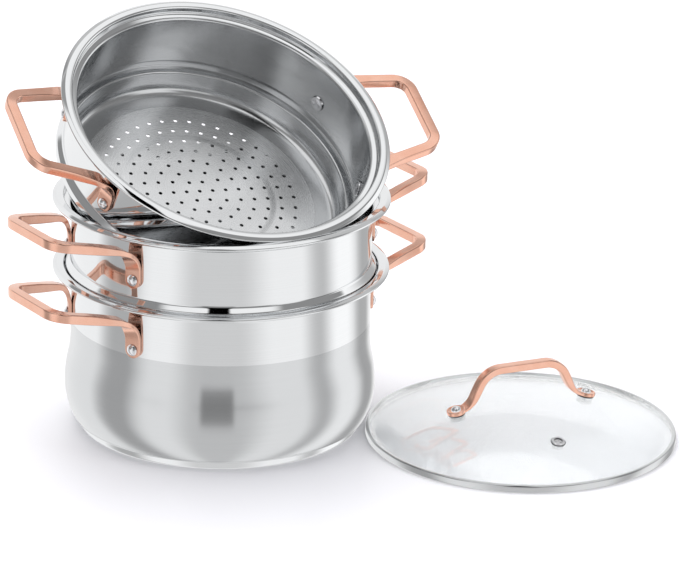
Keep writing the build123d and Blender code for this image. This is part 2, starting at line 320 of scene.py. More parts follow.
def steel(name, place, color, rough, streak, grain, anisotropic=0.0):
    """Steel brushed round the axis of place: streaks run round it, fine across and long along."""
    material, tree, shader = new_material(name)
    here = local_position(tree, place)
    lines = noise(tree, scaled(tree, here, BRUSH_SCALE), 1.0, 3.0)
    smudge = noise(tree, scaled(tree, here, SMUDGE_SCALE), 1.0, 4.0)
    low, high = rough
    worn = between(tree, smudge, low, high)
    streaked = add_node(tree, "ShaderNodeMath", {
        0: worn,
        1: between(tree, lines, -streak, streak),
    }, operation="ADD")
    shade = add_node(tree, "ShaderNodeMix", {
        "Factor": between(tree, lines, 0.0, 1.0),
        "A": (*[c * STREAK_SHADE for c in color], 1),
        "B": (*color, 1),
    }, data_type="RGBA")
    tree.links.new(shade.outputs["Result"], shader.inputs["Base Color"])
    tree.links.new(streaked.outputs["Value"], shader.inputs["Roughness"])
    tree.links.new(bump(tree, lines, grain, BRUSH_DEPTH), shader.inputs["Normal"])
    shader.inputs["Metallic"].default_value = 1.0
    if anisotropic:
        brushed_round(tree, shader, place, anisotropic)
    return material


def floor_steel(name, place):
    """Steel brushed in rings, with a shallow step pressed between two rows of holes."""
    material, tree, shader = new_material(name)
    here = local_position(tree, place)
    flat = scaled(tree, here, (1, 1, 0))
    reach = add_node(tree, "ShaderNodeVectorMath", {0: flat}, operation="LENGTH").outputs["Value"]
    rings = add_node(tree, "ShaderNodeTexNoise", {"W": reach, "Scale": RING_SCALE}, noise_dimensions="1D")
    soft = noise(tree, scaled(tree, here, SOFT_SCALE), 1.0, 3.0)
    roughness = add_node(tree, "ShaderNodeMath", {
        0: between(tree, soft, 0.22, 0.29),
        1: between(tree, rings.outputs["Fac"], -0.04, 0.04),
    }, operation="ADD")
    tree.links.new(roughness.outputs["Value"], shader.inputs["Roughness"])
    pressed = add_node(tree, "ShaderNodeMapRange", {
        "Value": reach,
        "From Min": STEP_START,
        "From Max": STEP_END,
        "To Min": 1.0,
        "To Max": 0.0,
    }, interpolation_type="SMOOTHSTEP")
    height = add_node(tree, "ShaderNodeMath", {
        0: rings.outputs["Fac"],
        1: BRUSH_SHARE,
        2: pressed.outputs["Result"],
    }, operation="MULTIPLY_ADD")
    tree.links.new(bump(tree, height.outputs["Value"], 1.0, FLOOR_DEPTH), shader.inputs["Normal"])
    shader.inputs["Base Color"].default_value = (0.76, 0.77, 0.78, 1)
    shader.inputs["Metallic"].default_value = 1.0
    brushed_round(tree, shader, place, 0.8)
    return material


def satin_copper():
    material, tree, shader = new_material("satin_copper")
    here = add_node(tree, "ShaderNodeTexCoord").outputs["Object"]
    cloud = noise(tree, here, 60.0, 4.0)
    grain = noise(tree, here, 2400.0, 2.0)
    shade = add_node(tree, "ShaderNodeMix", {
        "Factor": between(tree, cloud, 0.0, 1.0),
        "A": (0.82, 0.45, 0.33, 1),
        "B": (0.88, 0.53, 0.41, 1),
    }, data_type="RGBA")
    tree.links.new(shade.outputs["Result"], shader.inputs["Base Color"])
    tree.links.new(between(tree, cloud, 0.13, 0.19), shader.inputs["Roughness"])
    tree.links.new(bump(tree, grain, 0.25, BRUSH_DEPTH), shader.inputs["Normal"])
    shader.inputs["Metallic"].default_value = 1.0
    return material


def bright_steel():
    material, tree, shader = new_material("bright_rivets")
    here = add_node(tree, "ShaderNodeTexCoord").outputs["Object"]
    cloud = noise(tree, here, 300.0, 3.0)
    tree.links.new(between(tree, cloud, 0.10, 0.2), shader.inputs["Roughness"])
    tree.links.new(bump(tree, cloud, 0.15, CLOUD_DEPTH), shader.inputs["Normal"])
    shader.inputs["Base Color"].default_value = (0.80, 0.80, 0.82, 1)
    shader.inputs["Metallic"].default_value = 1.0
    return material


def plain(name, color, low, high, metallic, scale):
    """A plain finish whose roughness and bump vary a little over the surface."""
    material, tree, shader = new_material(name)
    here = add_node(tree, "ShaderNodeTexCoord").outputs["Object"]
    cloud = noise(tree, here, scale, 4.0)
    tree.links.new(between(tree, cloud, low, high), shader.inputs["Roughness"])
    tree.links.new(bump(tree, cloud, 0.2, CLOUD_DEPTH), shader.inputs["Normal"])
    shader.inputs["Base Color"].default_value = (*color, 1)
    shader.inputs["Metallic"].default_value = metallic
    return material


def clear_glass():
    material, tree, shader = new_material("clear_glass")
    here = add_node(tree, "ShaderNodeTexCoord").outputs["Object"]
    cloud = noise(tree, here, 25.0, 3.0)
    tree.links.new(between(tree, cloud, 0.0, 0.03), shader.inputs["Roughness"])
    shader.inputs["Base Color"].default_value = (0.90, 0.95, 0.955, 1)
    shader.inputs["IOR"].default_value = 1.5
    shader.inputs["Transmission Weight"].default_value = 1.0
    shader.inputs["Alpha"].default_value = 0.42
    return material


POLISHED = (0.80, 0.81, 0.82)
SATIN = (0.66, 0.67, 0.68)
polished = {}
satin = {}
for vessel, rim in rims.items():
    polished[vessel] = steel(f"{vessel}_polished_steel", rim, POLISHED, (0.03, 0.06), 0.01, 0.06)
    satin[vessel] = steel(f"{vessel}_satin_steel", rim, SATIN, (0.13, 0.17), 0.02, 0.20, 0.85)
floors = {tier: floor_steel(f"{tier}_floor_steel", rims[tier]) for tier in rims if tier != "pot"}
band_steel = steel("lid_band_steel", lid_seat, SATIN, (0.10, 0.16), 0.02, 0.15)
copper = satin_copper()
rivet_steel = bright_steel()
aluminium = plain("base_aluminium", (0.75, 0.75, 0.76), 0.35, 0.45, 1.0, 400.0)
# Dark rubber for the gaskets, also used as painted shade on the steam vent's bore
rubber_and_bore_shade = plain("dark_rubber", (0.03, 0.03, 0.032), 0.55, 0.7, 0.0, 900.0)
silicone = plain("pale_silicone", (0.84, 0.86, 0.87), 0.35, 0.5, 0.0, 900.0)
glass = clear_glass()


# Mesh helpers
def rounded(corners, steps=6):
    """Closed outline through corners (r, z, radius, finish), each rounded off by its radius."""
    points = []
    for index, (r, z, radius, finish) in enumerate(corners):
        here = Vector((r, z))
        if radius == 0:
            points.append((here, finish))
            continue
        before = Vector(corners[index - 1][:2])
        after = Vector(corners[(index + 1) % len(corners)][:2])
        back = (before - here).normalized()
        ahead = (after - here).normalized()
        half = back.angle(ahead) / 2
        centre = here + (back + ahead).normalized() * (radius / sin(half))
        start = here + back * (radius / tan(half)) - centre
        end = here + ahead * (radius / tan(half)) - centre
        turn = atan2(start.x * end.y - start.y * end.x, start.dot(end))
        for step in range(steps + 1):
            spoke = Matrix.Rotation(turn * step / steps, 2) @ start
            points.append((centre + spoke, finish))
    return points


def lathe(bm, outline, place, segments):
    """Closed outline of (point, finish) turned round the Z of place. The finish picks the material."""
    rings = []
    for point, _ in outline:
        count = 1 if abs(point.x) < ON_AXIS else segments
        ring = []
        for index in range(count):
            angle = 2 * pi * index / segments
            corner = Vector((point.x * cos(angle), point.x * sin(angle), point.y))
            ring.append(bm.verts.new(place @ corner * MM))
        rings.append(ring)
    for index, (_, finish) in enumerate(outline):
        low = rings[index]
        high = rings[(index + 1) % len(rings)]
        if len(low) == 1 and len(high) == 1:
            continue
        for here in range(segments):
            there = (here + 1) % segments
            near = [low[0]] if len(low) == 1 else [low[here], low[there]]
            far = [high[0]] if len(high) == 1 else [high[there], high[here]]
            face = bm.faces.new([*near, *far])
            face.material_index = finish
            face.smooth = True
    return bm


def finish_piece(name, bm, materials, body, nodes, sharp=32.0, weighted=False):
    """Turn a built mesh into a piece that stands for its CAD nodes and rides on their body."""
    bmesh.ops.recalc_face_normals(bm, faces=bm.faces)
    mesh = bpy.data.meshes.new(name)
    bm.to_mesh(mesh)
    bm.free()
    for material in materials:
        mesh.materials.append(material)
    mesh.set_sharp_from_angle(angle=radians(sharp))
    piece = bpy.data.objects.new(name, mesh)
    bpy.context.scene.collection.objects.link(piece)
    if weighted:
        modifier = piece.modifiers.new("even_shading", "WEIGHTED_NORMAL")
        modifier.keep_sharp = True
    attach(piece, body)
    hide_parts(*nodes)


def parallel(points, gap):
    """An open outline moved to its left by gap, with its corners kept sharp."""
    ends = [Vector(point[:2]) for point in points]
    runs = [(after - before).normalized() for before, after in zip(ends, ends[1:])]
    normals = [Vector((-run.y, run.x)) for run in runs]
    moved = [ends[0] + normals[0] * gap]
    for point, before, after in zip(ends[1:-1], normals, normals[1:]):
        moved.append(point + (before + after) * (gap / (1 + before.dot(after))))
    return [*moved, ends[-1] + normals[-1] * gap]


def vessel_outline(lower, inner_finish):
    """Sheet outline from the corners of lower up the outside, round the rolled rim and down the inside."""
    outside = [
        *lower,
        (wall_radius, -seat_depth - sheet - neck_drop, seat_foot_bend, 0),
        (seat_radius + sheet, -seat_depth - sheet, seat_bend, 0),
        (seat_radius + sheet, -sheet, lip_bend, 0),
        (lip_radius - hem, -sheet, hem_inner_bend, 0),
    ]
    roll = [
        (lip_radius - hem, -hem, hem_foot_bend, 0),
        (lip_radius, -hem, hem_edge_bend, 0),
        (lip_radius, -lip_droop, hem_brow_bend, 0),
        (lip_radius - lip_slope, 0, lip_edge_bend, 0),
    ]
    inside = []
    # These two corners bend the other way, so the sheet's inner radius there is the larger one
    convex = {len(outside) - 4, len(outside) - 2}
    for index, (corner, point) in enumerate(zip(outside[:-1], parallel(outside, sheet))):
        radius = corner[2]
        bend_here = max(radius + sheet if index in convex else radius - sheet, least_bend) if radius else 0
        finish = inner_finish if point.y < -seat_depth - finish_margin else 0
        inside.append((point.x, point.y, bend_here, finish))
    return [*outside, *roll, *reversed(inside)]


def with_bends(corners, changes):
    """Corners with other bend radii, each corner counted back from the last one."""
    for index, radius in changes.items():
        r, z, _, finish = corners[index]
        corners[index] = (r, z, radius, finish)
    return corners


# Vessels: the pot's belly is sampled along its arcs, the tiers are straight runs
def pot_lower_side(inset, steps=16):
    belly = belly_height - pot_height
    floor_height = base_height - pot_height + inset
    low_arc = belly_low_arc - inset
    centre_r = belly_radius - belly_low_arc
    reach = centre_r + sqrt(low_arc**2 - (belly - floor_height) ** 2)
    sway = 2 * atan((belly_radius - wall_radius) / (shoulder_height - belly_height))
    swing = (shoulder_height - belly_height) / 2 / sin(sway)
    start = atan2(floor_height - belly, reach - centre_r)
    points = [(0, floor_height), (reach, floor_height)]
    for step in range(1, steps + 1):
        angle = start * (1 - step / steps)
        points.append((centre_r + low_arc * cos(angle), belly + low_arc * sin(angle)))
    radius = swing - inset
    for step in range(1, steps + 1):
        angle = sway * step / steps
        points.append((belly_radius - inset - radius * (1 - cos(angle)), belly + radius * sin(angle)))
    turn_r, turn_z = points[-1]
    radius = swing + inset
    for step in range(1, steps + 1):
        angle = sway * (1 - step / steps)
        dr = radius * (1 - cos(sway)) - radius * (1 - cos(angle))
        points.append((turn_r - dr, turn_z + radius * (sin(sway) - sin(angle))))
    return points


def build_pot():
    polish = polish_height - pot_height
    low = pot_lower_side(0)
    high = pot_lower_side(sheet)
    outside = []
    for index, (r, z) in enumerate(low):
        outside.append((r, z, pot_corner if index == 1 else 0, 1))
    outside.append((wall_radius, polish, 0, 0))
    upper = vessel_outline([(wall_radius, polish, 0, 0)], 2)
    inside = []
    for index, (r, z) in enumerate(high):
        inside.append((r, z, pot_corner - sheet if index == 1 else 0, 2))
    outline = rounded([*outside[:-1], *upper[:-1], *reversed(inside)])
    bm = lathe(bmesh.new(), outline, pot_rim, VESSEL_SIDES)
    materials = [polished["pot"], satin["pot"], satin["pot"]]
    finish_piece("pot_body_piece", bm, materials, "pot", ["pot_body"])


def build_tier(tier, rim):
    floor_height = -tier_depth - sheet
    bead_foot = -tier_pitch - seat_depth
    neck_bend, foot_corner, brow_bend, wall_bend = bead_bends
    lower = [
        (floor_radius, floor_height, 0, 0),
        (neck_foot_radius, floor_height, tier_corner + sheet, 0),
        (neck_radius, bead_foot, neck_bend, 0),
        (bead_radius, bead_foot, foot_corner, 0),
        (bead_radius, -bead_top - bead_flare, brow_bend, 0),
        (wall_radius, -bead_top, wall_bend, 0),
    ]
    outline = rounded(with_bends(vessel_outline(lower, 1), tier_inner_bends))
    bm = lathe(bmesh.new(), outline, rim, VESSEL_SIDES)
    materials = [polished[tier], satin[tier]]
    finish_piece(f"{tier}_wall_piece", bm, materials, tier, [f"{tier}_wall"])


def pierced_disc(radius, holes, hole, thickness, place, sides):
    """A flat disc with round holes, its underside on the XY of place, as a built mesh."""
    curve = bpy.data.curves.new("disc_outline", "CURVE")
    curve.dimensions = "2D"
    curve.fill_mode = "BOTH"
    curve.extrude = thickness / 2 * MM
    circles = [(0, 0, radius, DISC_SIDES), *((x, y, hole, sides) for x, y in holes)]
    for x, y, r, count in circles:
        spline = curve.splines.new("POLY")
        spline.points.add(count - 1)
        spline.use_cyclic_u = True
        for index, point in enumerate(spline.points):
            angle = 2 * pi * index / count
            point.co = ((x + r * cos(angle)) * MM, (y + r * sin(angle)) * MM, 0, 1)
    holder = bpy.data.objects.new("disc_outline", curve)
    mesh = bpy.data.meshes.new_from_object(holder)
    bpy.data.objects.remove(holder)
    bpy.data.curves.remove(curve)
    bm = bmesh.new()
    bm.from_mesh(mesh)
    bpy.data.meshes.remove(mesh)
    bmesh.ops.remove_doubles(bm, verts=bm.verts, dist=0.00001)
    for face in bm.faces:
        face.smooth = False
    rise = spot(0, 0, thickness / 2)
    for vert in bm.verts:
        vert.co = (place @ rise @ (vert.co / MM)) * MM
    return bm


def build_floor(tier, rim):
    holes = [(0, 0)]
    for ring in range(1, ring_count + 1):
        for index in range(6 * ring):
            angle = 2 * pi * index / (6 * ring)
            holes.append((ring_pitch * ring * cos(angle), ring_pitch * ring * sin(angle)))
    place = rim @ spot(0, 0, -tier_depth - sheet)
    bm = pierced_disc(floor_radius, holes, hole_radius, sheet, place, hole_sides)
    name = f"{tier}_floor"
    finish_piece(f"{name}_piece", bm, [floors[tier]], tier, [name])


def build_base_cap():
    outline = rounded([
        (0, 0, 0, 0),
        (base_radius, 0, cap_bend, 0),
        (base_radius, base_height, 0, 0),
        (base_radius - cap_sheet, base_height, 0, 0),
        (base_radius - cap_sheet, cap_sheet, cap_inner_bend, 0),
        (0, cap_sheet, 0, 0),
    ])
    bm = lathe(bmesh.new(), outline, Matrix.Identity(4), VESSEL_SIDES)
    finish_piece("pot_base_cap_piece", bm, [polished["pot"]], "pot", ["pot_base_cap"])


# Bars: a rounded rectangle swept along a path, its size changing on the way
def bend(start, corner, end, radius, steps):
    """Points of a straight run, a bend and a straight run from start to end."""
    back = (start - corner).normalized()
    ahead = (end - corner).normalized()
    half = back.angle(ahead) / 2
    centre = corner + (back + ahead).normalized() * (radius / sin(half))
    first = corner + back * (radius / tan(half)) - centre
    last = corner + ahead * (radius / tan(half)) - centre
    axis = first.cross(last).normalized()
    swing = first.angle(last)
    arc = [centre + Matrix.Rotation(swing * k / steps, 3, axis) @ first for k in range(steps + 1)]
    return [start, *arc, end]


def bar_ring(width, height, bevel, steps=3):
    """Points round a rectangle of width by height, its corners cut with a soft edge."""
    ring = []
    for sx, sy, base in ((1, 1, 0), (-1, 1, 90), (-1, -1, 180), (1, -1, 270)):
        cx = sx * (width / 2 - bevel)
        cy = sy * (height / 2 - bevel)
        for step in range(steps + 1):
            angle = radians(base + 90 * step / steps)
            ring.append((cx + bevel * cos(angle), cy + bevel * sin(angle)))
    return ring


def sweep(bm, stations, place):
    """Skin over stations of (point, across, up, width, height, bevel), closed at both ends."""
    rings = []
    for point, across, up, width, height, bevel in stations:
        ring = [point + across * x + up * y for x, y in bar_ring(width, height, bevel)]
        rings.append([bm.verts.new(place @ corner * MM) for corner in ring])
    for low, high in zip(rings, rings[1:]):
        for here in range(len(low)):
            there = (here + 1) % len(low)
            bm.faces.new((low[here], low[there], high[there], high[here])).smooth = True
    bm.faces.new(rings[0])
    bm.faces.new(list(reversed(rings[-1])))


def blend_value(a, b, share):
    return a + (b - a) * share


def smooth(share):
    share = min(max(share, 0), 1)
    return share * share * (3 - 2 * share)


def bar_path(middle, corner, taper, knee, foot, bends, leg_steps):
    """Path from the middle of a bar over its corner, taper and knee to its foot, and the taper's index."""
    arm = bend(middle, corner, taper, bends[0], BEND_STEPS)
    leg = bend(taper, knee, foot, bends[1], leg_steps)
    run = [taper + (leg[1] - taper) * k / RUN_STEPS for k in range(RUN_STEPS)]
    return arm[:-1] + run + leg[1:], len(arm) - 1


def taper_shares(path, start):
    """For each point, the eased share of the way from start to the last point but one."""
    lengths = [0.0]
    for before, after in zip(path, path[1:]):
        lengths.append(lengths[-1] + (after - before).length)
    whole = lengths[-2] - lengths[start]
    return [smooth((length - lengths[start]) / whole) for length in lengths]


def bar_direction(path, index):
    """Mean direction of the runs on both sides of a point."""
    point = path[index]
    before = path[max(index - 1, 0)]
    after = path[min(index + 1, len(path) - 1)]
    return ((after - point).normalized() + (point - before).normalized()).normalized()


def with_mirror(half, flip):
    """Half a bar's stations with their mirror image before them."""
    other = [(flip @ p, flip @ across, flip @ up, *sizes) for p, across, up, *sizes in half[1:]]
    return [*reversed(other), *half]


def side_handle_stations():
    """Half of a side handle, from the middle of its bar to the round end of its pad."""
    angle = radians(foot_angle)
    out = Vector((cos(angle), sin(angle), 0))
    pad_middle = out * (wall_radius + foot_gap + pad_thickness / 2) - UP * rivet_depth
    corner = Vector((bar_reach, bar_half, -bar_depth))
    knee = Vector((pad_middle.x, pad_middle.y, -leg_depth))
    middle = Vector((bar_reach, 0, -bar_depth))
    taper = knee + (corner - knee) * leg_taper_share
    bends = (bar_bend, foot_bend)
    path, taper_index = bar_path(middle, corner, taper, knee, pad_middle, bends, BEND_STEPS)
    heel_start = len(path) - BEND_STEPS - 2
    stations = []
    for index, share in enumerate(taper_shares(path, taper_index)):
        along = bar_direction(path, index) if index else Vector((0, 1, 0))
        heel = smooth((index - heel_start) / BEND_STEPS)
        lean = UP * (1 - heel) - out * heel
        up = (lean - along * lean.dot(along)).normalized()
        stations.append((
            path[index],
            up.cross(along),
            up,
            blend_value(bar_thickness, pad_width, share),
            blend_value(bar_height, pad_thickness, share),
            blend_value(bar_bevel, pad_bevel, share),
        ))
    # The pad's round end, its last third a little thinner and its tip left blunt
    down = -UP
    across = (-out).cross(down)
    radius = pad_width / 2
    for step in range(1, PAD_STEPS + 1):
        swing = radians(90 * step / (PAD_STEPS + 0.35))
        stations.append((
            pad_middle + down * radius * sin(swing),
            across,
            -out,
            pad_width * cos(swing),
            pad_thickness - pad_thinning * smooth((step - 6) / 3),
            min(pad_bevel, pad_width * cos(swing) / 2.1),
        ))
    return stations


def build_side_handles(vessel, rim):
    full = with_mirror(side_handle_stations(), Matrix.Diagonal((1, -1, 1)))
    for side, turn in (("right", 0), ("left", 180)):
        bm = bmesh.new()
        sweep(bm, full, rim @ turned(turn))
        name = f"{vessel}_handle_{side}"
        finish_piece(f"{name}_piece", bm, [copper], vessel, [name], 40, True)


def rivet_outline(radius, head, tail, grip, steps=10):
    """Domed head on the XY of its seat, shank, and flat tail past the grip."""
    head_radius, head_edge, head_height = head
    tail_radius, tail_height = tail
    rise = head_height - head_edge
    ball = (head_radius**2 + rise**2) / (2 * rise)
    points = []
    for step in range(steps + 1):
        r = head_radius * sin(radians(90 * step / steps))
        points.append((Vector((r, head_height - ball + sqrt(ball**2 - r**2))), 0))
    for r, z in (
        (head_radius, head_edge * 0.3),
        (head_radius * 0.94, 0),
        (radius, 0),
        (radius, -grip),
        (tail_radius * 0.93, -grip),
        (tail_radius, -grip - tail_height * 0.3),
        (tail_radius * 0.9, -grip - tail_height),
        (tail_radius * 0.55, -grip - tail_height),
        (tail_radius * 0.45, -grip - tail_height * 0.8),
        (0, -grip - tail_height * 0.8),
    ):
        points.append((Vector((r, z)), 0))
    return points


def wall_foot(rim, turn):
    """Place on the outside of a wall at a rivet, with its Z out of the wall."""
    out = spot(wall_radius, 0, -rivet_depth) @ Matrix.Rotation(radians(90), 4, "Y")
    return rim @ turned(turn) @ out


def build_side_rivets(vessel, rim):
    outline = rivet_outline(*side_rivet, pad_thickness + foot_gap + sheet + rivet_play)
    for side, turn in (("right", 0), ("left", 180)):
        bm = bmesh.new()
        for foot in (-foot_angle, foot_angle):
            seat = wall_foot(rim, turn + foot) @ spot(0, 0, foot_gap + pad_thickness)
            lathe(bm, outline, seat, RIVET_SIDES)
        name = f"{vessel}_rivets_{side}"
        finish_piece(f"{name}_piece", bm, [rivet_steel], vessel, [name])


build_pot()
build_base_cap()
for vessel, rim in rims.items():
    build_side_handles(vessel, rim)
    build_side_rivets(vessel, rim)
    if vessel != "pot":
        build_tier(vessel, rim)
        build_floor(vessel, rim)
core = frame["nodes"]["pot_base_core"]
core.data.materials.clear()
core.data.materials.append(aluminium)


# Lid: glass, band, handle with its gaskets and rivets, and the steam vent
glass_edge = band_height - band_sheet - glass_gap
dome_radius = (glass_shoulder**2 + glass_rise**2) / (2 * glass_rise)
dome_centre = glass_edge + glass_rise - dome_radius


def dome_place(turn, reach):
    """Place on top of the glass, with its Z square to the glass and its X away from the axis."""
    lean = atan2(reach, sqrt(dome_radius**2 - reach**2))
    tilt = Matrix.Rotation(lean, 4, "Y")
    return lid_seat @ spot(0, 0, dome_centre) @ turned(turn) @ tilt @ spot(0, 0, dome_radius)


def glass_side(inset, steps=28):
    radius = dome_radius - inset
    height = glass_edge - inset
    reach = sqrt(radius**2 - (height - dome_centre) ** 2)
    swing = atan2(reach, height - dome_centre)
    points = []
    for step in range(steps + 1):
        angle = swing * step / steps
        r = radius * sin(angle)
        z = dome_centre + radius * cos(angle)
        points.append((r, z, glass_bend if step == steps else 0, 0))
    return points, height


def build_glass():
    top, top_height = glass_side(0)
    low, low_height = glass_side(glass_thickness)
    edge = band_radius - band_sheet - glass_gap
    outline = rounded([
        *top,
        (edge, top_height, glass_edge_bend, 0),
        (edge, low_height, glass_edge_bend, 0),
        *reversed(low),
    ])
    outline = [(Vector((max(point.x, 0), point.y)), finish) for point, finish in outline]
    bm = lathe(bmesh.new(), outline, lid_seat, VESSEL_SIDES)
    finish_piece("lid_glass_piece", bm, [glass], "lid", ["lid_glass"])


def build_band():
    foot_reach = band_radius - band_foot_flange
    top_reach = band_radius - band_top_flange
    inner_reach = band_radius - band_sheet
    corners = [
        (foot_reach, 0, band_foot_bend, 0),
        (band_radius, 0, band_bend, 0),
        (band_radius, band_height, band_bend, 0),
        (top_reach, band_height, band_top_bend, 0),
        (top_reach, band_height - band_sheet, band_top_bend, 0),
        (inner_reach, band_height - band_sheet, band_inner_bend, 0),
        (inner_reach, band_sheet, band_inner_bend, 0),
        (foot_reach, band_sheet, band_foot_bend, 0),
    ]
    bm = lathe(bmesh.new(), rounded(corners), lid_seat, VESSEL_SIDES)
    finish_piece("lid_rim_band_piece", bm, [band_steel], "lid", ["lid_rim_band"])


def dish_outline():
    """Round foot of the lid handle: a disc with a raised edge."""
    inner = lid_foot_radius - lid_foot_edge_width
    edge_top = lid_foot_thickness + lid_foot_edge_height
    return rounded([
        (0, 0, 0, 0),
        (lid_foot_radius, 0, lid_foot_bend, 0),
        (lid_foot_radius, edge_top, lid_foot_edge_bend, 0),
        (inner, edge_top, lid_foot_edge_bend, 0),
        (inner, lid_foot_thickness, lid_foot_inner_bend, 0),
        (0, lid_foot_thickness, 0, 0),
    ], 4)


def build_lid_handle():
    foot = lid_seat.inverted() @ dome_place(0, lid_foot_reach)
    base = foot @ spot(0, 0, gasket_thickness)
    outward = (foot.to_3x3() @ Vector((1, 0, 0))).normalized()
    middle = base @ Vector((0, 0, lid_foot_thickness / 2))
    knee = middle - outward * lid_foot_run
    shoulder = Vector((lid_bar_half, 0, lid_bar_top))
    top = Vector((0, 0, lid_bar_top))
    taper = knee + (shoulder - knee) * lid_taper_share
    bends = (lid_bar_bend, lid_leg_bend)
    path, taper_index = bar_path(top, shoulder, taper, knee, middle, bends, LID_LEG_STEPS)
    half = []
    across = Vector((0, 1, 0))
    for index, share in enumerate(taper_shares(path, taper_index)):
        half.append((
            path[index],
            across,
            bar_direction(path, index).cross(across).normalized(),
            blend_value(lid_bar_width, lid_strap_width, share),
            blend_value(lid_bar_thickness, lid_foot_thickness, share),
            blend_value(lid_bar_bevel, pad_bevel, share),
        ))
    bm = bmesh.new()
    sweep(bm, with_mirror(half, Matrix.Diagonal((-1, 1, 1))), lid_seat)
    for turn in (0, 180):
        seat = dome_place(turn, lid_foot_reach) @ spot(0, 0, gasket_thickness)
        lathe(bm, dish_outline(), seat, SMALL_SIDES)
    finish_piece("lid_handle_piece", bm, [copper], "lid", ["lid_handle"], 40, True)


def build_lid_gaskets():
    """The gaskets above and below the glass, and the rivets through them."""
    under = glass_thickness + glass_gap + gasket_thickness
    for name, radius, height, finish in (
        ("lid_handle_gaskets", outer_gasket_radius, 0, rubber_and_bore_shade),
        ("lid_inner_gaskets", inner_gasket_radius, -under, silicone),
    ):
        bm = bmesh.new()
        outline = rounded([
            (gasket_hole, 0, gasket_hole_bend, 0),
            (radius, 0, gasket_bend, 0),
            (radius, gasket_thickness, gasket_bend, 0),
            (gasket_hole, gasket_thickness, gasket_hole_bend, 0),
        ], 3)
        for turn in (0, 180):
            lathe(bm, outline, dome_place(turn, lid_foot_reach) @ spot(0, 0, height), RIVET_SIDES)
        finish_piece(f"{name}_piece", bm, [finish], "lid", [name])
    outline = rivet_outline(*lid_rivet, lid_foot_thickness + gasket_thickness + under)
    bm = bmesh.new()
    for turn in (0, 180):
        seat = dome_place(turn, lid_foot_reach) @ spot(0, 0, gasket_thickness + lid_foot_thickness)
        lathe(bm, outline, seat, RIVET_SIDES)
    finish_piece("lid_rivets_piece", bm, [rivet_steel], "lid", ["lid_handle_rivets"])


def build_vent():
    """The eyelet, its bore darkened with painted shade in dark rubber, its pierced guard, and the gasket
    under its collar.
    """
    seat = dome_place(vent_turn, vent_reach)
    outline = rounded([
        (vent_bore, vent_foot, vent_fine_bend, 0),
        (vent_flange, vent_foot, vent_edge_bend, 0),
        (vent_flange, vent_flange_top, vent_fine_bend, 0),
        (vent_neck, vent_flange_top, 0, 0),
        (vent_neck, vent_gasket_thickness, 0, 0),
        (vent_collar, vent_gasket_thickness, vent_fine_bend, 0),
        (vent_collar_top, vent_top, vent_top_bend, 0),
        # The bore's wall takes the second finish, dark rubber as painted shade in the hole
        (vent_bore, vent_top, vent_top_bend, 1),
    ], 4)
    bm = lathe(bmesh.new(), outline, seat, SMALL_SIDES)
    turns = [2 * pi * k / guard_hole_count for k in range(guard_hole_count)]
    holes = [(guard_hole_reach * cos(turn), guard_hole_reach * sin(turn)) for turn in turns]
    guard = pierced_disc(guard_radius, holes, guard_hole_radius, guard_thickness, seat, guard_hole_sides)
    mesh = bpy.data.meshes.new("vent_guard")
    guard.to_mesh(mesh)
    guard.free()
    bm.from_mesh(mesh)
    bpy.data.meshes.remove(mesh)
    # The bore's dark rubber is painted shade; the metal eyelet has no rubber there
    materials = [rivet_steel, rubber_and_bore_shade]
    finish_piece("steam_vent_piece", bm, materials, "lid", ["steam_vent_eyelet"])
    outline = rounded([
        (vent_gasket_hole, 0, 0, 0),
        (vent_gasket_radius, 0, vent_edge_bend, 0),
        (vent_gasket_radius, vent_gasket_thickness, vent_edge_bend, 0),
        (vent_gasket_hole, vent_gasket_thickness, 0, 0),
    ], 3)
    bm = lathe(bmesh.new(), outline, seat, SMALL_SIDES)
    finish_piece("vent_gasket_piece", bm, [rubber_and_bore_shade], "lid", ["steam_vent_gasket"])


build_glass()
build_band()
build_lid_handle()
build_lid_gaskets()
build_vent()

# Camera: fitted to the photograph's rims; it looks at a point beside the pot's axis
view_turn = radians(-34)
elevation = radians(19.7)
roll = radians(1.25)
distance = 3600
focal_pixels = 4145
image_width = 679
target_across = 103
target_height = 128
right = Vector((cos(view_turn), sin(view_turn), 0))
away = Vector((-sin(view_turn), cos(view_turn), 0))
target = right * target_across + UP * target_height
look = away * cos(elevation) - UP * sin(elevation)
rise = away * sin(elevation) + UP * cos(elevation)
camera_x = right * cos(roll) + rise * sin(roll)
camera_y = rise * cos(roll) - right * sin(roll)
camera_data = bpy.data.cameras.new("camera")
camera_data.sensor_width = 36
camera_data.lens = focal_pixels / image_width * camera_data.sensor_width
camera_data.clip_start = 0.1
camera_data.clip_end = 50
camera = bpy.data.objects.new("camera", camera_data)
basis = Matrix((camera_x, camera_y, -look)).transposed()
camera.matrix_world = Matrix.Translation((target - look * distance) * MM) @ basis.to_4x4()
bpy.context.scene.collection.objects.link(camera)
bpy.context.scene.camera = camera


